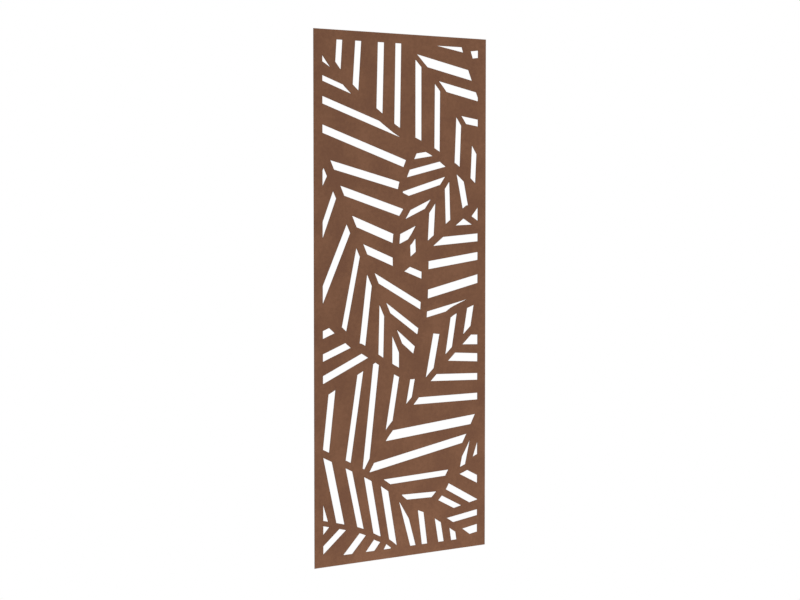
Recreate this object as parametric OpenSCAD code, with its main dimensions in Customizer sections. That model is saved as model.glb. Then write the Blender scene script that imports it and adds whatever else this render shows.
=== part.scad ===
// Hanging acoustic room divider: a thin felt-faced sheet cut through with leaf veins.
// The front faces -Y and Z is up. The origin is midway between the two hanging holes,
// on the top of the hanger lips, just behind the panel's top edge.

/* [Panel] */
// Width of the panel
panel_w = 800; // [600:10:1200]
// Height of the panel
panel_h = 2000; // [1600:10:2800]
// Thickness of each felt facing
felt_t = 1; // [0.8:0.1:3]
// Thickness of the metal core between the facings
core_t = 1.2; // [1.2:0.1:3]

/* [Leaf cut-outs] */
// Uncut border down each side
side_margin = 38; // [30:1:80]
// Uncut border along the top and the bottom
end_margin = 36; // [36:1:80]
// Width of an ordinary vein slot
vein_w = 28; // [18:1:32]
// Width of an ordinary rib left standing between the slots
rib_w = 30; // [20:1:40]

/* [Hangers] */
// Thickness of the folded hanger plate
hanger_t = 2; // [1.5:0.1:3]
// Length of a hanger along the panel's top edge
hanger_l = 64; // [56:1:120]
// Height of the hanger's foot on the core
hanger_foot_h = 26; // [22:1:28]
// How far the hanger's lip reaches back from the core
hanger_reach = 25; // [20:1:40]
// Distance from the panel's side edge to the near end of its hanger
hanger_inset = 90; // [60:1:200]
// Drop from the panel's top edge to the hanger's lip
hanger_drop = 5; // [3:0.5:6]
// Distance from the core's back to the middle of the hanging hole
hole_setback = 14; // [12:0.5:16]
// Diameter of the hanging hole, for a 6 mm bolt or hook
hole_d = 6.6; // [5:0.1:8]
// Corner radius of the lip
lip_corner_r = 6; // [2:0.5:8]
// Clearance between the rear felt and the hanger's foot
window_gap = 0.5; // [0.3:0.1:2]

/* [Fasteners] */
// Diameter of the clinch studs
stud_d = 4; // [3:0.5:5]
// How far a stud stands out behind the core
stud_l = 9; // [8:0.5:14]
// Diameter of a stud's flush head
stud_head_d = 6.1; // [5.5:0.1:7]
// Depth of a stud's flush head in the core
stud_head_t = 0.9; // [0.6:0.1:1]
// Distance between the two studs of a hanger
stud_pitch = 40; // [36:1:44]
// Length of the slot in the hanger that takes a stud
stud_slot_l = 8; // [6:0.5:10]
// Clearance of a stud in its slot and its washer, on the diameter
stud_gap = 0.4; // [0.2:0.1:0.8]
// Outer diameter of a washer
washer_d = 9; // [8:0.5:12]
// Thickness of a washer
washer_t = 0.8; // [0.5:0.1:1.6]
// Width of a nut across its flats
nut_af = 7; // [6:0.5:9]
// Height of a nut
nut_h = 3.2; // [2.4:0.1:5]
// Chamfer on the end of a stud
stud_chamfer = 0.5; // [0.2:0.1:1]

/* [Hidden] */

// Roundness of holes and corners
round_fn = 48;
// Extra depth that carries a cut clear of the face it leaves
over = 1;

// The panel hangs from the origin
panel_top = hanger_drop;
panel_bottom = panel_top - panel_h;
core_back = -hole_setback;
core_front = core_back - core_t;

// The window of cut-outs inside the border
field_w = panel_w - 2 * side_margin;
field_h = panel_h - 2 * end_margin;

// Hangers: inside bend radius, and the middle of the foot's flat part
bend_r = hanger_t;
stud_z = -(hanger_foot_h + hanger_t + bend_r) / 2;
hanger_x = panel_w / 2 - hanger_inset - hanger_l / 2;
SIDES = [-1, 1];

// The leaf drawing is laid out on a field 724 wide and 1928 high, from its bottom centre,
// and stretches with the field
DRAWN_W = 724;
DRAWN_H = 1928;
function on_field(p) = [p.x * field_w / DRAWN_W, p.y * field_h / DRAWN_H];

// Ribs stay uncut. These are the points that their smooth centre lines run through.
// Top leaf: midrib falling from the left corner, and its upper outline
TOP_MIDRIB = [
    [-385, 1922], [-250, 1764], [-36, 1604], [139, 1523], [214, 1476], [264, 1450], [403, 1333]
];
TOP_OUTLINE = [[15, 1928], [98, 1848], [181, 1767], [281, 1642], [400, 1470]];
// Outline of the leaf in the top right corner
CORNER_OUTLINE = [[292, 1954], [331, 1848], [396, 1704]];
// Second leaf: long straight midrib, and its right outline, which steps in halfway down
SECOND_MIDRIB = [[-400, 1589], [-3, 756]];
SECOND_SHOULDER = [[56, 1531], [11, 1436], [-15, 1352]];
SECOND_STEP = [[-20, 1355], [34, 1333]];
SECOND_OUTLINE = [[49, 1337], [21, 1299], [-26, 1212], [-28, 1056]];
// Third leaf: midrib, lower outline and tip
THIRD_MIDRIB = [[236, 1460], [212, 1415], [113, 1289], [36, 1177], [-28, 1134]];
THIRD_OUTLINE = [[378, 1352], [325, 1302], [290, 1282], [35, 1097], [-28, 1059]];
THIRD_TIP = [[312, 1272], [385, 1355]];
// Fourth leaf: spur under the third leaf's tip, midrib, and lower outline, which widens at its foot
FOURTH_SPUR = [[292, 1278], [400, 1214]];
FOURTH_MIDRIB = [[108, 1154], [98, 884], [56, 702]];
FOURTH_OUTLINE = [[400, 959], [255, 908], [205, 882], [100, 840]];
FOURTH_FLARE = [[100, 840], [195, 828]];
// Fifth leaf: upper outline, midrib of its left lobe, and the long curved midrib
FIFTH_OUTLINE = [[-400, 939], [-226, 794], [-177, 769], [-5, 670], [80, 664]];
FIFTH_LOBE = [[-400, 594], [-122, 736]];
FIFTH_MIDRIB = [[400, 884], [137, 655], [49, 563], [-77, 440], [-172, 299]];
// Bottom leaf: midrib, and the spur under it
BOTTOM_MIDRIB = [[-400, 409], [-97, 259], [17, 167], [105, 137], [234, 60], [330, -6]];
BOTTOM_SPUR = [[0, 178], [44, 109]];
// Leaf in the bottom left corner
LEFT_MIDRIB = [[-400, 139], [-205, 88], [-115, 46], [-69, 28], [-8, -21]];
// Leaf in the bottom right corner: outline and two midribs
RIGHT_OUTLINE = [[384, 525], [300, 374], [226, 264], [190, 207], [130, 149]];
RIGHT_MIDRIB = [[236, 260], [308, 283], [343, 308], [400, 329]];
RIGHT_LOWER_MIDRIB = [[180, 100], [400, 142]];

// Each rib: [width at its start, width at its end, centre line], the widths as shares of
// an ordinary rib
RIBS = [
    [1, 1.05, TOP_MIDRIB], [0.6, 0.8, TOP_OUTLINE], [1.2, 1.2, CORNER_OUTLINE], [1.35, 0.9, SECOND_MIDRIB],
    [1.15, 0.75, SECOND_SHOULDER], [0.95, 0.95, SECOND_STEP], [0.95, 1.05, SECOND_OUTLINE],
    [0.95, 0.75, THIRD_MIDRIB], [1.4, 0.85, THIRD_OUTLINE], [1, 1, THIRD_TIP],
    [0.9, 0.9, FOURTH_SPUR], [1.05, 1.05, FOURTH_MIDRIB], [1.1, 1.05, FOURTH_OUTLINE],
    [1.1, 1.1, FOURTH_FLARE], [1.25, 1, FIFTH_OUTLINE], [0.9, 0.9, FIFTH_LOBE], [0.9, 0.85, FIFTH_MIDRIB],
    [0.9, 0.9, BOTTOM_MIDRIB], [0.85, 0.85, BOTTOM_SPUR], [0.65, 0.75, LEFT_MIDRIB],
    [0.8, 1.1, RIGHT_OUTLINE], [0.85, 0.85, RIGHT_MIDRIB], [0.85, 0.85, RIGHT_LOWER_MIDRIB]
];

// Veins are the slots. Each springs from a rib and runs on to the next rib or the border:
// [how far along its rib in percent, angle from the X axis, width as a share of an ordinary slot].
FANS = [
    // Top leaf, above and below its midrib, and the third leaf's first veins under it
    [TOP_MIDRIB, [[14.5, 86, 0.95], [25.4, 86, 1], [39.2, 88.5, 1.05], [49, 89, 1], [60.1, 90, 1.05],
        [69.9, 89.5, 0.95], [81.2, 87.5, 0.95], [91.2, 87, 0.9]]],
    [TOP_MIDRIB, [[11.4, 150, 1], [25.7, 161, 0.7], [52.7, 161.5, 0.95], [68.7, -171.5, 0.7],
        [75.7, -167, 0.9]]],
    [SECOND_SHOULDER, [[36.2, 161.5, 1.05]]],
    // Top right corner
    [TOP_OUTLINE, [[63.8, -8.5, 0.95]]],
    [CORNER_OUTLINE, [[13.5, 171, 1], [21.8, 7, 1], [54.6, 168.5, 1.3], [88.2, 168.5, 1.15]]],
    // Second leaf, right and left of its midrib
    [SECOND_MIDRIB, [[14.2, -14, 1.05], [25.5, -17, 1.1], [39.1, -20.5, 1.2], [51.7, -21.5, 1.05],
        [64.5, -28.5, 0.95], [77.7, -34.5, 0.8], [90.8, -38.5, 0.95]]],
    [SECOND_MIDRIB, [[15.6, -118, 1], [25.4, -112, 0.85], [40.9, -115, 1.05], [50.9, -102.5, 0.85],
        [63.3, -97.5, 1], [76.8, -91.5, 0.85], [92.7, -90, 1.15]]],
    // Third leaf
    [THIRD_MIDRIB, [[12, -164, 0.85], [37.7, -157, 0.8], [69.4, -157, 1.2]]],
    [THIRD_OUTLINE, [[19.6, 102.5, 1.05], [40.8, 92, 0.85], [61.6, 86.5, 1], [81.5, 92.5, 0.95]]],
    // Fourth leaf
    [THIRD_OUTLINE, [[34.1, 2, 1], [60, 4, 1.1], [92.6, -20.5, 0.9]]],
    [FOURTH_SPUR, [[33.5, 32, 1.7]]],
    [FOURTH_MIDRIB, [[16, 7.5, 1.1], [40.7, 12.5, 1.2], [58, 12, 0.8]]],
    // Fifth leaf, above and below its outline and its long midrib
    [FIFTH_OUTLINE, [[22.6, -159.5, 1], [39, -159.5, 0.95], [54.3, -156.5, 1]]],
    [FIFTH_MIDRIB, [[15.2, 79.5, 1.1], [29.5, 80, 1], [44.6, 78, 1.1], [61.8, 78.5, 0.8],
        [77.5, 79.5, 0.95]]],
    [FIFTH_MIDRIB, [[17.9, -2.5, 1.35], [29.7, -4, 1.15], [43.9, -2, 0.95], [58.4, 0, 0.95], [80.3, 5, 1.3],
        [97.5, 10, 1.1]]],
    // Bottom leaf, above and below its midrib
    [BOTTOM_MIDRIB, [[6.5, 83, 1.05], [19.4, 80.5, 0.9], [29.8, 83, 1], [40.2, 2, 0.8], [52.7, -1, 0.75],
        [82.4, 7.5, 0.85], [93.8, 8.5, 1.1]]],
    [BOTTOM_MIDRIB, [[7.1, -77, 1.2], [19.6, -77, 0.95], [31, -79, 1.1], [41.4, -79.5, 1.1],
        [54, -73.5, 0.9], [65.8, -82, 0.95], [76.6, -79.5, 0.95], [86.6, -80.5, 0.95]]],
    // Bottom corners
    [LEFT_MIDRIB, [[11.4, 108, 1], [13.8, -135, 1], [32.4, -141.5, 0.9], [54.1, -134.5, 1.05],
        [71.1, -131.5, 1.1], [84.6, -122, 1]]],
    [RIGHT_MIDRIB, [[28.8, 76.5, 0.85], [70.7, 69.5, 1], [23.9, -26.5, 1]]],
    [RIGHT_LOWER_MIDRIB, [[46.9, 153, 0.8], [82.6, 151.5, 0.95]]]
];

// Straight pieces between two points of a rib's curve
CURVE_STEPS = 4;
// A vein's two edges are laid out from halfway along it, but no farther than this from its rib
LAY_OUT = 90;
// Longer than any vein
FAR = field_w + field_h;

function unit(v) = v / norm(v);
function reversed(list) = [for (i = [len(list) - 1:-1:0]) list[i]];

// Point at share t of the way from b to c, on the smooth curve through a, b, c and d
function on_curve(a, b, c, d, t) =
    b + t / 2 * (c - a) + t ^ 2 * (a - 2.5 * b + 2 * c - d / 2) + t ^ 3 * (1.5 * (b - c) + (d - a) / 2);

// Smooth centre line through the points, or the straight line between two
function smooth_line(points) =
    let (last = len(points) - 1)
        last == 1 ? points
        : concat(
            [for (i = [0:last - 1], k = [0:CURVE_STEPS - 1])
                let (before = points[max(i - 1, 0)], after = points[min(i + 2, last)])
                    on_curve(before, points[i], points[i + 1], after, k / CURVE_STEPS)],
            [points[last]]
        );

// Length of a line, and the point at a distance along it, both counted from its point i
function line_length(line, i = 0) =
    i == len(line) - 1 ? 0 : norm(line[i + 1] - line[i]) + line_length(line, i + 1);
function along(line, distance, i = 0) =
    let (run = line[i + 1] - line[i])
        distance > norm(run) && i < len(line) - 2 ? along(line, distance - norm(run), i + 1)
        : line[i] + distance * unit(run);

// Direction of a line at its point i, halfway between the stretches that meet there
function heading(line, i) =
    i == 0 ? unit(line[1] - line[0])
    : i == len(line) - 1 ? unit(line[i] - line[i - 1])
    : unit(unit(line[i] - line[i - 1]) + unit(line[i + 1] - line[i]));

// One side of a tapering rib, side +1 on the left of its centre line and -1 on the right
function rib_side(line, start_w, end_w, side) = [
    for (i = [0:len(line) - 1])
        let (u = heading(line, i), half = (start_w + (end_w - start_w) * i / (len(line) - 1)) / 2)
            line[i] + side * half * [-u.y, u.x]
];

RIB_LINES = [for (r = RIBS) [for (p = smooth_line(r[2])) on_field(p)]];

// Distance from p in direction u to the stretch from a to b, or far off where it misses,
// and to the nearest rib's centre line
function to_stretch(p, u, a, b) =
    let (turn = cross(u, b - a), reach = cross(a - p, b - a) / turn, share = cross(a - p, u) / turn)
        turn != 0 && share >= 0 && share <= 1 && reach > 0 ? reach : FAR;
function to_rib(p, u) =
    min([for (line = RIB_LINES, i = [0:len(line) - 2]) to_stretch(p, u, line[i], line[i + 1])]);

// Outline of a vein: both edges run from rib to rib, so its ends follow the ribs' lean.
// The way to the next rib is looked for from just off the vein's own rib.
function vein_outline(points, v) =
    let (
        u = unit(on_field([cos(v[1]), sin(v[1])])),
        line = smooth_line(points),
        root = on_field(along(line, v[0] / 100 * line_length(line))),
        middle = root + min(to_rib(root + u, u) / 2, LAY_OUT) * u,
        side = v[2] * vein_w / 2 * [-u.y, u.x]
    ) [
        middle - side - to_rib(middle - side, -u) * u, middle - side + to_rib(middle - side, u) * u,
        middle + side + to_rib(middle + side, u) * u, middle + side - to_rib(middle + side, -u) * u
    ];
VEIN_OUTLINES = [for (f = FANS, v = f[1]) vein_outline(f[0], v)];

// All the cut-outs, drawn flat from the field's bottom centre
module leaf_cutouts() {
    intersection() {
        translate([-field_w / 2, 0]) square([field_w, field_h]);
        difference() {
            union() for (outline = VEIN_OUTLINES) polygon(outline);
            for (k = [0:len(RIBS) - 1])
                polygon(concat(
                    rib_side(RIB_LINES[k], RIBS[k][0] * rib_w, RIBS[k][1] * rib_w, 1),
                    reversed(rib_side(RIB_LINES[k], RIBS[k][0] * rib_w, RIBS[k][1] * rib_w, -1))
                ));
        }
    }
}

// Stands a flat drawing up in the panel's plane, between two depths
module upright(front, back) {
    translate([0, back, 0]) rotate([90, 0, 0]) linear_extrude(back - front) children();
}

// The panel's outline with its leaf cut-outs
module cut_panel() {
    difference() {
        translate([-panel_w / 2, panel_bottom]) square([panel_w, panel_h]);
        translate([0, panel_bottom + end_margin]) leaf_cutouts();
    }
}

module at_studs() {
    for (s = SIDES, t = SIDES) translate([s * hanger_x + t * stud_pitch / 2, core_back, stud_z]) children();
}

// A cylinder along +Y from the given distance behind the core
module backward(d, from, to, sides = round_fn) {
    translate([0, from, 0]) rotate([-90, 0, 0]) cylinder(d = d, h = to - from, $fn = sides);
}

module front_felt() {
    color("#7A5745") upright(core_front - felt_t, core_front) cut_panel();
}

module core_sheet() {
    color("silver") difference() {
        upright(core_front, core_back) cut_panel();
        at_studs() {
            backward(stud_d, -core_t - over, over);
            backward(stud_head_d, -core_t - over, stud_head_t - core_t);
        }
    }
}

module rear_felt() {
    window_w = hanger_l + 2 * window_gap;
    color("#7A5745") upright(core_back, core_back + felt_t) difference() {
        cut_panel();
        for (s = SIDES)
            translate([s * hanger_x - window_w / 2, -hanger_foot_h - window_gap])
                square([window_w, hanger_foot_h + hanger_drop + window_gap + over]);
    }
}

// Side view of the folded plate: foot on the core, bend, lip reaching back
module hanger_profile() {
    outer_r = bend_r + hanger_t;
    difference() {
        union() {
            translate([0, -hanger_foot_h]) square([hanger_t, hanger_foot_h - outer_r]);
            translate([outer_r, -hanger_t]) square([hanger_reach - outer_r, hanger_t]);
            intersection() {
                translate([outer_r, -outer_r]) circle(outer_r, $fn = round_fn);
                translate([0, -outer_r]) square(outer_r);
            }
        }
        translate([outer_r, -outer_r]) circle(bend_r, $fn = round_fn);
    }
}

// Outline of the lip from above, with its back corners rounded
module lip_outline() {
    translate([-hanger_l / 2, 0]) square([hanger_l, hanger_reach - lip_corner_r]);
    translate([-hanger_l / 2 + lip_corner_r, 0]) square([hanger_l - 2 * lip_corner_r, hanger_reach]);
    for (s = SIDES)
        translate([s * (hanger_l / 2 - lip_corner_r), hanger_reach - lip_corner_r])
            circle(lip_corner_r, $fn = round_fn);
}

module hanger() {
    slot_d = stud_d + stud_gap;
    slot_flat = stud_slot_l - slot_d;
    difference() {
        intersection() {
            translate([-hanger_l / 2, core_back, 0])
                rotate([90, 0, 90]) linear_extrude(hanger_l) hanger_profile();
            translate([0, core_back, -hanger_foot_h - over])
                linear_extrude(hanger_foot_h + 2 * over) lip_outline();
        }
        translate([0, 0, -hanger_t - over]) cylinder(d = hole_d, h = hanger_t + 2 * over, $fn = round_fn);
        for (t = SIDES)
            translate([t * stud_pitch / 2, core_back, stud_z]) {
                for (e = SIDES)
                    translate([e * slot_flat / 2, 0, 0]) backward(slot_d, -over, hanger_t + over);
                translate([-slot_flat / 2, -over, -slot_d / 2])
                    cube([slot_flat, hanger_t + 2 * over, slot_d]);
            }
    }
}

module hanger_bracket_left() {
    color("lightgray") translate([-hanger_x, 0, 0]) hanger();
}

module hanger_bracket_right() {
    color("lightgray") translate([hanger_x, 0, 0]) hanger();
}

module clinch_studs() {
    color("gainsboro") at_studs() {
        backward(stud_head_d, -core_t, stud_head_t - core_t);
        backward(stud_d, -core_t, stud_l - stud_chamfer);
        translate([0, stud_l - stud_chamfer, 0]) rotate([-90, 0, 0])
            cylinder(d1 = stud_d, d2 = stud_d - 2 * stud_chamfer, h = stud_chamfer, $fn = round_fn);
    }
}

module flat_washers() {
    color("gainsboro") at_studs() difference() {
        backward(washer_d, hanger_t, hanger_t + washer_t);
        backward(stud_d + stud_gap, hanger_t - over, hanger_t + washer_t + over);
    }
}

// Hexagon nut with the outer corners of both faces turned off
module hex_nuts() {
    seat = hanger_t + washer_t;
    across_corners = nut_af / cos(30);
    corner_h = (across_corners - nut_af) / 2 * tan(30);
    color("gainsboro") at_studs() difference() {
        intersection() {
            backward(across_corners, seat, seat + nut_h, 6);
            translate([0, seat, 0]) rotate([-90, 0, 0]) rotate_extrude($fn = round_fn)
                polygon([
                    [0, 0], [nut_af / 2, 0], [across_corners / 2, corner_h],
                    [across_corners / 2, nut_h - corner_h], [nut_af / 2, nut_h], [0, nut_h]
                ]);
        }
        backward(stud_d, seat - over, seat + nut_h + over);
    }
}

front_felt();
core_sheet();
rear_felt();
hanger_bracket_left();
hanger_bracket_right();
clinch_studs();
flat_washers();
hex_nuts();
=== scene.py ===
"""Looks of a hanging acoustic divider panel: felt on a coated core, zinc-plated hangers, white studio."""

import math

import bmesh
import bpy
from bpy.props import FloatProperty, FloatVectorProperty, IntProperty, PointerProperty
from mathutils import Matrix, Vector


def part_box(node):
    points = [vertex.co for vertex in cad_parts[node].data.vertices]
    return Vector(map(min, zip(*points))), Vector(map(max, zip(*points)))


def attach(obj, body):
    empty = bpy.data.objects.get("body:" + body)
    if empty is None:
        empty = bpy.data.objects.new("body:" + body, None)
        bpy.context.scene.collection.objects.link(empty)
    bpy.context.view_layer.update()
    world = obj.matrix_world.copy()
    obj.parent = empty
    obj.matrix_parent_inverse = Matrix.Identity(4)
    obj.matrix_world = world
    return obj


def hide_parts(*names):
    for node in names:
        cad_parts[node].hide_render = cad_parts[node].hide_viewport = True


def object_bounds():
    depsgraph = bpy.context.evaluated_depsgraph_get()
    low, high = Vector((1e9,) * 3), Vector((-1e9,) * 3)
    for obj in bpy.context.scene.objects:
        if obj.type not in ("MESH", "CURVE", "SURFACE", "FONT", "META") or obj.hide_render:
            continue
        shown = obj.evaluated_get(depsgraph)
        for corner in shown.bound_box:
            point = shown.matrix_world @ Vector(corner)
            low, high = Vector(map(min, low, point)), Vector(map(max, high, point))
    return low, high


bl_info = {
    "name": "Acoustic Divider Looks",
    "version": (1, 0, 0),
    "blender": (4, 5, 0),
    "location": "3D View > Sidebar > Divider",
    "description": "Felt, core, hangers and studio for a hanging leaf-cut acoustic divider panel",
    "category": "Object",
}

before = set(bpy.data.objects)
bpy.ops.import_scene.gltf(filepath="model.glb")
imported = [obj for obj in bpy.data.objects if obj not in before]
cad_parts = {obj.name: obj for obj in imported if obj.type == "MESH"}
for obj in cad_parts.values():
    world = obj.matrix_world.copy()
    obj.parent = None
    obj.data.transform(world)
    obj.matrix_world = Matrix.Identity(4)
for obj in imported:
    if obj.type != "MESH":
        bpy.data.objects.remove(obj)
cad_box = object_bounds()

# One millimetre in Blender's metres
MM = 0.001
# Two points of a mesh that lie closer than this are one
MERGE_DISTANCE = 0.001 * MM
# Triangles that turn less than this from each other are one flat face
FLAT_ANGLE = math.radians(0.5)
# Faces that meet at more than this form an edge, and at less a seam or a bend
EDGE_ANGLE = math.radians(30)
# Edges sharper than this shade as a crease
CREASE_ANGLE = math.radians(50)
# The front and back of a flat sheet have more than this of their normal along Y
SHEET_FACE = 0.9
# The felt's two noises add up to 1 where its tone is usual,
# and to this much less or more where it is darkest or lightest
TONE_SPREAD = 0.22
# Directions in which the felt's fibres lie, in degrees
FIBRE_TURNS = (8, 41, 74, 113, 152)
# How far a noise may be from its middle and still be part of a fibre
FIBRE_BAND = 0.06
# Noise waves are this many fibres wide
FIBRES_PER_WAVE = 4
# Painted light and shade on the powder coat's ripples: their crests are painted this many times as light as
# their hollows
PAINTED_CREST_LIGHT = 1.12
# The plating's rolling lines are this many times longer than wide
ROLLING_STRETCH = 90
# Depth of a metric thread as a share of its pitch
THREAD_DEPTH = 0.6134
# Steps round a stud's head and round the floor
HEAD_STEPS = 48
FLOOR_STEPS = 96


def linear(hex_colour):
    """Gives the linear red, green and blue of an sRGB hex colour."""
    shares = [int(hex_colour[i:i + 2], 16) / 255 for i in (1, 3, 5)]
    return tuple(s / 12.92 if s <= 0.04045 else ((s + 0.055) / 1.055) ** 2.4 for s in shares)


def colour(name, description, hex_colour):
    """A colour that a user can change, with its default as an sRGB hex value."""
    return FloatVectorProperty(
        name=name, description=description, subtype="COLOR", size=3, min=0, max=1,
        default=linear(hex_colour)
    )


def length(name, description, metres):
    """A length that a user can change, in metres."""
    return FloatProperty(
        name=name, description=description, unit="LENGTH", min=0, precision=5, default=metres
    )


def point(name, description, metres):
    """A point that a user can change, in metres."""
    return FloatVectorProperty(
        name=name, description=description, subtype="TRANSLATION", unit="LENGTH", size=3, precision=3,
        default=metres
    )


def angle(name, description, degrees):
    """An angle that a user can change, with its default in degrees."""
    return FloatProperty(name=name, description=description, subtype="ANGLE", default=math.radians(degrees))


def power(name, description, watts):
    """A lamp's power that a user can change, in watts."""
    return FloatProperty(name=name, description=description, unit="POWER", min=0, default=watts)


class FeltSettings(bpy.types.PropertyGroup):
    """Sizes and colours of the two felt facings."""

    ground: colour("Ground", "Brown of the pressed felt", "#714E39")
    shade: colour("Shade", "Brown of its darker patches", "#694735")
    bloom: colour("Bloom", "Brown of its lighter patches", "#7A553F")
    strand: colour("Strand", "Colour of the paler fibres", "#906852")
    patch_size: length("Patches", "Size of the broad patches of tone", 120 * MM)
    mottle_size: length("Mottle", "Size of the small clouds in the felt", 16 * MM)
    fibre_length: length("Fibre length", "How far a fibre shows before it dives under others", 6 * MM)
    fibre_width: length("Fibre width", "Width of a bundle of fibres", 0.2 * MM)
    fibre_show: FloatProperty(
        name="Fibre strength", description="How far the paler fibres tint the felt", subtype="FACTOR",
        min=0, max=1, default=0.3
    )
    nap_depth: length("Nap", "Height of the fibres over the felt's ground", 0.16 * MM)
    edge_ease: length("Eased edge", "Rounding that the die leaves on the felt's cut edges", 0.25 * MM)


class CoreSettings(bpy.types.PropertyGroup):
    """Finish of the coated core."""

    coat: colour("Coat", "Brown powder coat in the felt's tone", "#6F4F3F")
    peel_size: length("Orange peel", "Size of the ripples in the powder coat", 0.8 * MM)
    peel_depth: length("Peel depth", "Height of these ripples", 0.05 * MM)


class SteelSettings(bpy.types.PropertyGroup):
    """Finish and edges of the hangers and the fasteners."""

    zinc: colour("Zinc", "Blue-grey of passivated zinc plating", "#B4B9BD")
    zinc_light: colour("Zinc, light", "Its paler clouds", "#CDCFCE")
    cloud_size: length("Clouds", "Size of the clouds in the plating", 7 * MM)
    rolling_pitch: length("Rolling lines", "Spacing of the lines left by rolling the plate", 0.35 * MM)
    rolling_depth: length("Rolling depth", "Depth of these lines under the plating", 0.01 * MM)
    hanger_ease: length("Hanger edge", "Rounding of the hangers' tumbled edges", 0.3 * MM)
    washer_ease: length("Washer edge", "Rounding of the washers' edges", 0.1 * MM)
    thread_diameter: length("Thread", "Outer diameter of the M4 thread", 4 * MM)
    thread_pitch: length("Thread pitch", "Pitch of the M4 thread", 0.7 * MM)
    thread_steps: IntProperty(
        name="Thread steps", description="Steps in one turn of the thread", default=32, min=8
    )
    stud_head: length("Stud head", "Depth of a stud's flush head in the core", 0.9 * MM)
    stud_tip: length("Stud tip", "Chamfer at the end of a stud", 0.5 * MM)


class StageSettings(bpy.types.PropertyGroup):
    """Camera, floor and lamps."""

    eye: point("Eye", "Place of the camera in the panel's frame", (-3.836, -5.456, -0.622))
    heading: angle("Heading", "How far the camera turns right of straight at the panel", 35.1)
    tilt: angle("Tilt", "How far the camera looks down", 2.78)
    lens: FloatProperty(
        name="Lens", description="Focal length in millimetres", unit="CAMERA", min=1, default=78.45
    )
    lens_drop: FloatProperty(
        name="Lens drop", description="Downward shift of the lens, as a share of the image width",
        subtype="FACTOR", min=-1, max=1, default=0.02
    )
    floor: colour("Floor", "Plain pale studio floor", "#F4F3F0")
    floor_gap: length("Floor gap", "Height at which the panel hangs above the floor", 0.5)
    floor_near: length("Floor, solid part", "Radius within which the floor is fully there", 0.7)
    floor_far: length("Floor, edge", "Radius at which the floor has faded out", 1.35)
    ambient: FloatProperty(
        name="Ambient", description="Strength of the even light from all round", default=0.65, min=0
    )
    front_place: point("Front lamp", "Middle of the soft lamp in front", (0.9, -3.6, -0.4))
    front_power: power("Front power", "Power of the soft lamp in front", 46)
    rear_place: point("Rear lamp", "Middle of the soft lamp behind", (1.8, 3.2, -0.4))
    rear_power: power("Rear power", "Power of the soft lamp behind", 45)
    lamp_size: length("Lamp size", "Side of these two square lamps", 2.4)
    bounce_place: point("Bounced light", "Its place, with Z from the panel's foot", (0.02, -0.36, -0.21))
    bounce_power: power("Bounce power", "Power of the light that the pale floor throws up", 1.6)
    bounce_size: length("Bounce size", "Side of the square that it comes from", 0.75)


class DividerSettings(bpy.types.PropertyGroup):
    """All that a user can change."""

    felt: PointerProperty(type=FeltSettings)
    core: PointerProperty(type=CoreSettings)
    steel: PointerProperty(type=SteelSettings)
    stage: PointerProperty(type=StageSettings)


def add_node(tree, kind, inputs=None, **settings):
    """Adds a node with its settings. An input is a value, or another node's output to link."""
    made = tree.nodes.new(kind)
    for name, value in settings.items():
        setattr(made, name, value)
    for name, value in (inputs or {}).items():
        if isinstance(value, bpy.types.NodeSocket):
            tree.links.new(value, made.inputs[name])
        else:
            made.inputs[name].default_value = value
    return made


def new_material(name):
    """Gives an empty material, its tree, its shader and the place on the piece in metres."""
    material = bpy.data.materials.new(name)
    material.use_nodes = True
    tree = material.node_tree
    tree.nodes.clear()
    shader = add_node(tree, "ShaderNodeBsdfPrincipled")
    add_node(tree, "ShaderNodeOutputMaterial", {"Surface": shader.outputs["BSDF"]})
    place = add_node(tree, "ShaderNodeTexCoord").outputs["Object"]
    return material, tree, shader, place


def opaque(rgb):
    """Adds a full alpha to a colour."""
    return (*rgb, 1.0)


def mix_colours(tree, share, first, second):
    """Mixes two colours by a share from 0, all first, to 1, all second."""
    mix = add_node(tree, "ShaderNodeMix", data_type="RGBA")
    sockets = {s.identifier: s for s in mix.inputs}
    for identifier, value in (("Factor_Float", share), ("A_Color", first), ("B_Color", second)):
        if isinstance(value, bpy.types.NodeSocket):
            tree.links.new(value, sockets[identifier])
        else:
            sockets[identifier].default_value = value
    return next(s for s in mix.outputs if s.identifier == "Result_Color")


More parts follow.
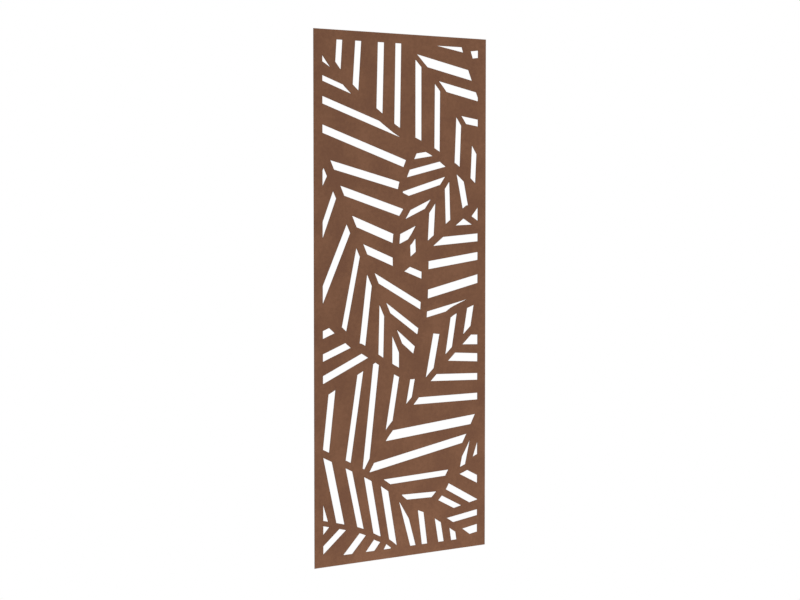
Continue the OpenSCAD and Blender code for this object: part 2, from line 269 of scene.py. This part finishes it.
def felt_material(look):
    """Pressed needle felt: a mat of short fibres. Matt and softly mottled, with paler strands."""
    material, tree, shader, place = new_material("pressed_felt_brown")

    # Broad patches and small clouds of tone
    patches = add_node(tree, "ShaderNodeTexNoise", {
        "Vector": place, "Scale": 1 / look.patch_size, "Detail": 1.0
    })
    mottle = add_node(tree, "ShaderNodeTexNoise", {
        "Vector": place, "Scale": 1 / look.mottle_size, "Detail": 4.0, "Roughness": 0.62
    })
    tone = add_node(tree, "ShaderNodeMath", {
        0: patches.outputs["Fac"], 1: mottle.outputs["Fac"]
    }, operation="ADD")
    shade = add_node(tree, "ShaderNodeMapRange", {
        "Value": tone.outputs[0], "From Min": 1.0 - TONE_SPREAD, "From Max": 1.0,
        "To Min": 1.0, "To Max": 0.0
    })
    bloom = add_node(tree, "ShaderNodeMapRange", {
        "Value": tone.outputs[0], "From Min": 1.0, "From Max": 1.0 + TONE_SPREAD
    })
    ground = mix_colours(tree, shade.outputs[0], opaque(look.ground), opaque(look.shade))
    ground = mix_colours(tree, bloom.outputs[0], ground, opaque(look.bloom))

    # Fibres lie flat, wavy and broken, as lines where a stretched noise crosses its middle.
    # A real fibre is 0.03 mm wide, so they are drawn as bundles that a close view can show.
    wave = FIBRES_PER_WAVE * look.fibre_width
    fibres = []
    for turn in FIBRE_TURNS:
        grain = add_node(tree, "ShaderNodeMapping", {
            "Vector": place, "Rotation": (0, math.radians(turn), 0),
            "Scale": (look.fibre_length, wave, wave)
        }, vector_type="TEXTURE")
        noise = add_node(tree, "ShaderNodeTexNoise", {
            "Vector": grain.outputs[0], "Scale": 1.0, "Detail": 2.0, "Roughness": 0.55, "Distortion": 1.2
        })
        off_middle = add_node(tree, "ShaderNodeMath", {
            0: noise.outputs["Fac"], 1: 0.5
        }, operation="SUBTRACT")
        distance = add_node(tree, "ShaderNodeMath", {0: off_middle.outputs[0]}, operation="ABSOLUTE")
        line = add_node(tree, "ShaderNodeMapRange", {
            "Value": distance.outputs[0], "From Min": 0.0, "From Max": FIBRE_BAND,
            "To Min": 1.0, "To Max": 0.0
        }, interpolation_type="SMOOTHSTEP")
        fibres.append(line.outputs[0])
    strands = fibres[0]
    for fibre in fibres[1:]:
        strands = add_node(tree, "ShaderNodeMath", {0: strands, 1: fibre}, operation="MAXIMUM").outputs[0]
    veil = add_node(tree, "ShaderNodeMath", {0: strands, 1: look.fibre_show}, operation="MULTIPLY")
    tint = mix_colours(tree, veil.outputs[0], ground, opaque(look.strand))
    tree.links.new(tint, shader.inputs["Base Color"])

    # The nap: fibres stand over a ground of small lumps
    lumps = add_node(tree, "ShaderNodeTexNoise", {
        "Vector": place, "Scale": 1 / wave, "Detail": 3.0, "Roughness": 0.6
    })
    height = add_node(tree, "ShaderNodeMath", {0: strands, 1: lumps.outputs["Fac"]}, operation="ADD")
    nap = add_node(tree, "ShaderNodeBump", {
        "Height": height.outputs[0], "Strength": 0.7, "Distance": look.nap_depth
    })
    cloud = add_node(tree, "ShaderNodeBump", {
        "Height": mottle.outputs["Fac"], "Strength": 0.35, "Distance": 2 * look.nap_depth,
        "Normal": nap.outputs[0]
    })
    tree.links.new(cloud.outputs[0], shader.inputs["Normal"])

    # Felt hardly shines, and its fibre ends give a faint sheen
    shader.inputs["Roughness"].default_value = 0.95
    shader.inputs["Specular IOR Level"].default_value = 0.12
    shader.inputs["Sheen Weight"].default_value = 0.06
    shader.inputs["Sheen Roughness"].default_value = 0.5
    shader.inputs["Sheen Tint"].default_value = opaque(look.strand)
    return material


def coat_material(look):
    """Powder coat baked on aluminium: a matt brown with fine orange peel, whose crests are painted lighter
    and hollows darker as painted light and shade. Only its cut edges show.
    """
    material, tree, shader, place = new_material("powder_coat_brown")
    ripple = add_node(tree, "ShaderNodeTexNoise", {
        "Vector": place, "Scale": 1 / look.peel_size, "Detail": 2.0
    })
    # Painted light and shade: the coat is drawn lighter where the ripple noise that also raises the bump is
    # high, and darker in its hollows
    painted_lit_coat = tuple(PAINTED_CREST_LIGHT * c for c in look.coat)
    tint = mix_colours(tree, ripple.outputs["Fac"], opaque(look.coat), opaque(painted_lit_coat))
    tree.links.new(tint, shader.inputs["Base Color"])
    peel = add_node(tree, "ShaderNodeBump", {
        "Height": ripple.outputs["Fac"], "Strength": 0.3, "Distance": look.peel_depth
    })
    tree.links.new(peel.outputs[0], shader.inputs["Normal"])
    shader.inputs["Roughness"].default_value = 0.6
    shader.inputs["Specular IOR Level"].default_value = 0.35
    return material


def zinc_material(name, look, line_axis, line_strength, smoothest, roughest):
    """Zinc plating with a clear passivate: cool grey and cloudy, with rolling lines just under it."""
    material, tree, shader, place = new_material(name)
    clouds = add_node(tree, "ShaderNodeTexNoise", {
        "Vector": place, "Scale": 1 / look.cloud_size, "Detail": 3.0
    })
    spread = add_node(tree, "ShaderNodeMapRange", {
        "Value": clouds.outputs["Fac"], "From Min": 0.35, "From Max": 0.65
    })
    stretch = [look.rolling_pitch] * 3
    stretch[line_axis] = ROLLING_STRETCH * look.rolling_pitch
    along = add_node(tree, "ShaderNodeMapping", {"Vector": place, "Scale": stretch}, vector_type="TEXTURE")
    lines = add_node(tree, "ShaderNodeTexNoise", {"Vector": along.outputs[0], "Scale": 1.0, "Detail": 3.0})
    tint = mix_colours(tree, spread.outputs[0], opaque(look.zinc), opaque(look.zinc_light))
    tree.links.new(tint, shader.inputs["Base Color"])
    roughness = add_node(tree, "ShaderNodeMapRange", {
        "Value": lines.outputs["Fac"], "From Min": 0.3, "From Max": 0.7,
        "To Min": smoothest, "To Max": roughest
    })
    tree.links.new(roughness.outputs[0], shader.inputs["Roughness"])
    relief = add_node(tree, "ShaderNodeBump", {
        "Height": lines.outputs["Fac"], "Strength": line_strength, "Distance": look.rolling_depth
    })
    tree.links.new(relief.outputs[0], shader.inputs["Normal"])
    shader.inputs["Metallic"].default_value = 1.0
    return material


def show(name, mesh, material, slot, *nodes):
    """Puts a mesh in the scene as a piece that rides on the panel and stands for the CAD nodes named."""
    piece = bpy.data.objects.new(name, mesh)
    bpy.context.scene.collection.objects.link(piece)
    mesh.materials.clear()
    mesh.materials.append(material)
    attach(piece, "root")
    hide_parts(*nodes)
    return piece


def finished_mesh(shape, name):
    """Turns a bmesh into a mesh that shades smoothly except over its creases."""
    for face in shape.faces:
        face.smooth = True
    for edge in shape.edges:
        edge.smooth = edge.calc_face_angle(0) < CREASE_ANGLE
    mesh = bpy.data.meshes.new(name)
    shape.to_mesh(mesh)
    shape.free()
    return mesh


def is_edge(edge):
    """Tells a real edge or corner of a piece from a seam within a face or a bend."""
    return edge.calc_face_angle(0) > EDGE_ANGLE


def is_sheet_edge(edge):
    """Tells an edge round a sheet's front or back face from a corner in its cut walls."""
    return is_edge(edge) and any(abs(face.normal.y) > SHEET_FACE for face in edge.link_faces)


def eased_mesh(node, name, radius, is_eased):
    """Copies a CAD node's mesh, joins its triangles into faces and rounds the edges that the test picks."""
    shape = bmesh.new()
    shape.from_mesh(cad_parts[node].data)
    bmesh.ops.remove_doubles(shape, verts=shape.verts, dist=MERGE_DISTANCE)
    bmesh.ops.dissolve_limit(shape, angle_limit=FLAT_ANGLE, verts=shape.verts, edges=shape.edges)
    bmesh.ops.bevel(
        shape, geom=[e for e in shape.edges if is_eased(e)], offset=radius, offset_type="OFFSET",
        segments=2, profile=0.5, affect="EDGES", material=-1, clamp_overlap=False
    )
    return finished_mesh(shape, name)


def keep_flats_flat(piece):
    """Lets the large faces set the shading, so that only the rounded edges and the bends look curved."""
    weights = piece.modifiers.new("flat_faces_lead", "WEIGHTED_NORMAL")
    weights.keep_sharp = True


def add_thread(shape, foot, tip, look):
    """Winds a right-hand metric thread round the Y axis from foot to tip, closed at both ends."""
    crest = look.thread_diameter / 2
    root = crest - THREAD_DEPTH * look.thread_pitch
    # A metric thread's crest is 1/8 and its root 1/4 of a pitch long
    tooth = ((0, crest), (1 / 8, crest), (7 / 16, root), (11 / 16, root))
    turns = math.ceil((tip - foot) / look.thread_pitch) + 1
    line = [
        shape.verts.new((radius, foot + (turn + share) * look.thread_pitch, 0))
        for turn in range(-1, turns) for share, radius in tooth
    ]
    rungs = [shape.edges.new(pair) for pair in zip(line, line[1:])]
    bmesh.ops.spin(
        shape, geom=line + rungs, axis=(0, 1, 0), angle=math.radians(360), steps=look.thread_steps,
        dvec=(0, look.thread_pitch / look.thread_steps, 0)
    )
    # The thread runs out at its root at the foot, and the tip's chamfer trims its crests
    tip_radius = crest - look.stud_tip
    for vert in shape.verts:
        radius = vert.co.xz.length
        kept = root if vert.co.y < foot else radius
        vert.co.y = min(max(vert.co.y, foot), tip)
        trimmed = min(kept, tip_radius + tip - vert.co.y)
        vert.co.x *= trimmed / radius
        vert.co.z *= trimmed / radius
    bmesh.ops.remove_doubles(shape, verts=shape.verts, dist=MERGE_DISTANCE)
    bmesh.ops.dissolve_degenerate(shape, edges=shape.edges, dist=MERGE_DISTANCE)
    bmesh.ops.holes_fill(shape, edges=[e for e in shape.edges if e.is_boundary])


def studs_mesh(look):
    """Makes the clinch studs, each a flush head in the core and a threaded shank behind it."""
    low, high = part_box("clinch_studs")
    head_radius = (high.z - low.z) / 2
    head_middle = low.y + look.stud_head / 2
    shape = bmesh.new()
    add_thread(shape, head_middle, high.y, look)
    along_y = Matrix.Translation((0, head_middle, 0)) @ Matrix.Rotation(math.radians(90), 4, "X")
    bmesh.ops.create_cone(
        shape, cap_ends=True, segments=HEAD_STEPS, radius1=head_radius, radius2=head_radius,
        depth=look.stud_head, matrix=along_y
    )
    bmesh.ops.recalc_face_normals(shape, faces=shape.faces)
    # Each hanger has a stud on either side of its middle, at the same distance
    hanger_low, hanger_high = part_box("hanger_bracket_right")
    outer_x = high.x - head_radius
    inner_x = hanger_low.x + hanger_high.x - outer_x
    stud = shape.verts[:] + shape.edges[:] + shape.faces[:]
    for x in (-outer_x, -inner_x, inner_x, outer_x):
        copy = bmesh.ops.duplicate(shape, geom=stud)["geom"]
        copied = [v for v in copy if isinstance(v, bmesh.types.BMVert)]
        bmesh.ops.translate(shape, verts=copied, vec=(x, 0, (low.z + high.z) / 2))
    bmesh.ops.delete(shape, geom=[v for v in stud if isinstance(v, bmesh.types.BMVert)], context="VERTS")
    return finished_mesh(shape, "studs")


def add_camera(scene, look):
    """Stands the camera where the photograph was taken from, with so little shift that other views fit."""
    data = bpy.data.cameras.new("camera")
    data.sensor_width = 36.0
    data.lens = look.lens
    data.shift_y = -look.lens_drop
    data.clip_end = 100.0
    camera = bpy.data.objects.new("camera", data)
    scene.collection.objects.link(camera)
    camera.location = look.eye
    camera.rotation_euler = (math.radians(90) - look.tilt, 0, -look.heading)
    scene.camera = camera


def add_world(scene, look):
    """White to the eye and in reflections, and an even plain light for everything else."""
    world = bpy.data.worlds.new("studio_white")
    scene.world = world
    world.use_nodes = True
    tree = world.node_tree
    tree.nodes.clear()
    rays = add_node(tree, "ShaderNodeLightPath")
    seen = add_node(tree, "ShaderNodeMath", {
        0: rays.outputs["Is Camera Ray"], 1: rays.outputs["Is Glossy Ray"]
    }, operation="MAXIMUM")
    seen = add_node(tree, "ShaderNodeMath", {
        0: seen.outputs[0], 1: rays.outputs["Is Transmission Ray"]
    }, operation="MAXIMUM")
    white = add_node(tree, "ShaderNodeBackground", {"Color": (1, 1, 1, 1), "Strength": 1.0})
    even = add_node(tree, "ShaderNodeBackground", {"Color": (1, 1, 1, 1), "Strength": look.ambient})
    mix = add_node(tree, "ShaderNodeMixShader", {
        0: seen.outputs[0], 1: even.outputs[0], 2: white.outputs[0]
    })
    add_node(tree, "ShaderNodeOutputWorld", {"Surface": mix.outputs[0]})


def floor_material(look):
    """Matt white studio paint that fades out towards the floor's rim, so the white world takes over."""
    material, tree, shader, place = new_material("studio_floor_paint")
    shader.inputs["Base Color"].default_value = opaque(look.floor)
    shader.inputs["Roughness"].default_value = 0.9
    level = add_node(tree, "ShaderNodeVectorMath", {0: place, 1: (1, 1, 0)}, operation="MULTIPLY")
    reach = add_node(tree, "ShaderNodeVectorMath", {0: level.outputs[0]}, operation="LENGTH")
    fade = add_node(tree, "ShaderNodeMapRange", {
        "Value": reach.outputs["Value"], "From Min": look.floor_near, "From Max": look.floor_far,
        "To Min": 1.0, "To Max": 0.0
    }, interpolation_type="SMOOTHSTEP")
    tree.links.new(fade.outputs[0], shader.inputs["Alpha"])
    return material


def add_floor(scene, look):
    """Lays a round floor under the panel, far enough down for the photograph's view to miss it."""
    panel_foot = cad_box[0].z
    disc = bmesh.new()
    bmesh.ops.create_circle(disc, cap_ends=True, segments=FLOOR_STEPS, radius=look.floor_far)
    bmesh.ops.translate(disc, verts=disc.verts, vec=(0, 0, panel_foot - look.floor_gap))
    mesh = bpy.data.meshes.new("floor")
    disc.to_mesh(mesh)
    disc.free()
    mesh.materials.append(floor_material(look))
    floor = bpy.data.objects.new("floor", mesh)
    scene.collection.objects.link(floor)


def add_lamp(scene, name, place, target, watts, size):
    """Hangs a square soft lamp that faces a point. Metal reflects the white room and not the lamp."""
    data = bpy.data.lights.new(name, "AREA")
    data.shape = "SQUARE"
    data.size = size
    data.energy = watts
    lamp = bpy.data.objects.new(name, data)
    lamp.visible_camera = False
    lamp.visible_glossy = False
    scene.collection.objects.link(lamp)
    lamp.location = place
    lamp.rotation_euler = (target - place).to_track_quat("-Z", "Y").to_euler()


class DIVIDER_OT_felt_facings(bpy.types.Operator):
    """Make the two felt facings with softly rounded cut edges"""

    bl_idname = "divider.felt_facings"
    bl_label = "Felt Facings"

    def execute(self, context):
        look = context.scene.divider.felt
        material = felt_material(look)
        for node, name in (("front_felt", "felt_front"), ("rear_felt", "felt_rear")):
            mesh = eased_mesh(node, name, look.edge_ease, is_sheet_edge)
            keep_flats_flat(show(name, mesh, material, "felt", node))
        return {"FINISHED"}


class DIVIDER_OT_core_sheet(bpy.types.Operator):
    """Give the core sheet its powder coat"""

    bl_idname = "divider.core_sheet"
    bl_label = "Core Sheet"

    def execute(self, context):
        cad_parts["core_sheet"].material_slots[0].material = coat_material(context.scene.divider.core)
        return {"FINISHED"}


class DIVIDER_OT_hangers(bpy.types.Operator):
    """Make the two folded hangers with tumbled edges"""

    bl_idname = "divider.hangers"
    bl_label = "Hangers"

    def execute(self, context):
        look = context.scene.divider.steel
        material = zinc_material(
            "zinc_plated_plate", look, line_axis=0, line_strength=0.5, smoothest=0.3, roughest=0.44
        )
        for side in ("left", "right"):
            node = "hanger_bracket_" + side
            name = "hanger_" + side
            mesh = eased_mesh(node, name, look.hanger_ease, is_edge)
            keep_flats_flat(show(name, mesh, material, "hanger_steel", node))
        return {"FINISHED"}


class DIVIDER_OT_fasteners(bpy.types.Operator):
    """Make the threaded studs and their washers, and plate the nuts"""

    bl_idname = "divider.fasteners"
    bl_label = "Fasteners"

    def execute(self, context):
        look = context.scene.divider.steel
        material = zinc_material(
            "zinc_plated_turned_parts", look, line_axis=1, line_strength=0.2, smoothest=0.2, roughest=0.32
        )
        show("studs", studs_mesh(look), material, "fastener_steel", "clinch_studs")
        washers = eased_mesh("flat_washers", "washers", look.washer_ease, is_edge)
        keep_flats_flat(show("washers", washers, material, "fastener_steel", "flat_washers"))
        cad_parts["hex_nuts"].material_slots[0].material = material
        return {"FINISHED"}


class DIVIDER_OT_stage(bpy.types.Operator):
    """Set up the camera, the floor, the world and the lamps"""

    bl_idname = "divider.stage"
    bl_label = "Studio Stage"

    def execute(self, context):
        scene = context.scene
        look = scene.divider.stage
        scene.view_settings.view_transform = "Standard"
        add_camera(scene, look)
        add_world(scene, look)
        add_floor(scene, look)
        low, high = cad_box
        middle = (low + high) / 2
        add_lamp(scene, "front_lamp", Vector(look.front_place), middle, look.front_power, look.lamp_size)
        add_lamp(scene, "rear_lamp", Vector(look.rear_place), middle, look.rear_power, look.lamp_size)
        # Lies face up near the floor, so it lights the panel's foot and not the floor
        bounce = Vector(look.bounce_place) + Vector((0, 0, low.z))
        above = bounce + Vector((0, 0, 1))
        add_lamp(scene, "floor_bounce", bounce, above, look.bounce_power, look.bounce_size)
        return {"FINISHED"}


class DIVIDER_PT_looks(bpy.types.Panel):
    """Lists the steps that dress the divider"""

    bl_label = "Acoustic Divider"
    bl_idname = "DIVIDER_PT_looks"
    bl_space_type = "VIEW_3D"
    bl_region_type = "UI"
    bl_category = "Divider"

    def draw(self, context):
        settings = context.scene.divider
        for step, look in STEPS:
            box = self.layout.box()
            box.operator(step.bl_idname)
            group = getattr(settings, look)
            for name in group.__annotations__:
                box.prop(group, name)


STEPS = (
    (DIVIDER_OT_felt_facings, "felt"),
    (DIVIDER_OT_core_sheet, "core"),
    (DIVIDER_OT_hangers, "steel"),
    (DIVIDER_OT_fasteners, "steel"),
    (DIVIDER_OT_stage, "stage"),
)
# In the order in which they are registered
CLASSES = (
    FeltSettings,
    CoreSettings,
    SteelSettings,
    StageSettings,
    DividerSettings,
    *(step for step, look in STEPS),
    DIVIDER_PT_looks,
)


def register():
    """Makes Blender know the settings, the steps and the panel."""
    for kind in CLASSES:
        bpy.utils.register_class(kind)
    bpy.types.Scene.divider = PointerProperty(type=DividerSettings)


def unregister():
    """Makes Blender forget them."""
    del bpy.types.Scene.divider
    for kind in reversed(CLASSES):
        bpy.utils.unregister_class(kind)


def main():
    """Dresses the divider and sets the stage."""
    register()
    bpy.ops.divider.felt_facings()
    bpy.ops.divider.core_sheet()
    bpy.ops.divider.hangers()
    bpy.ops.divider.fasteners()
    bpy.ops.divider.stage()


if __name__ == "__main__":
    main()
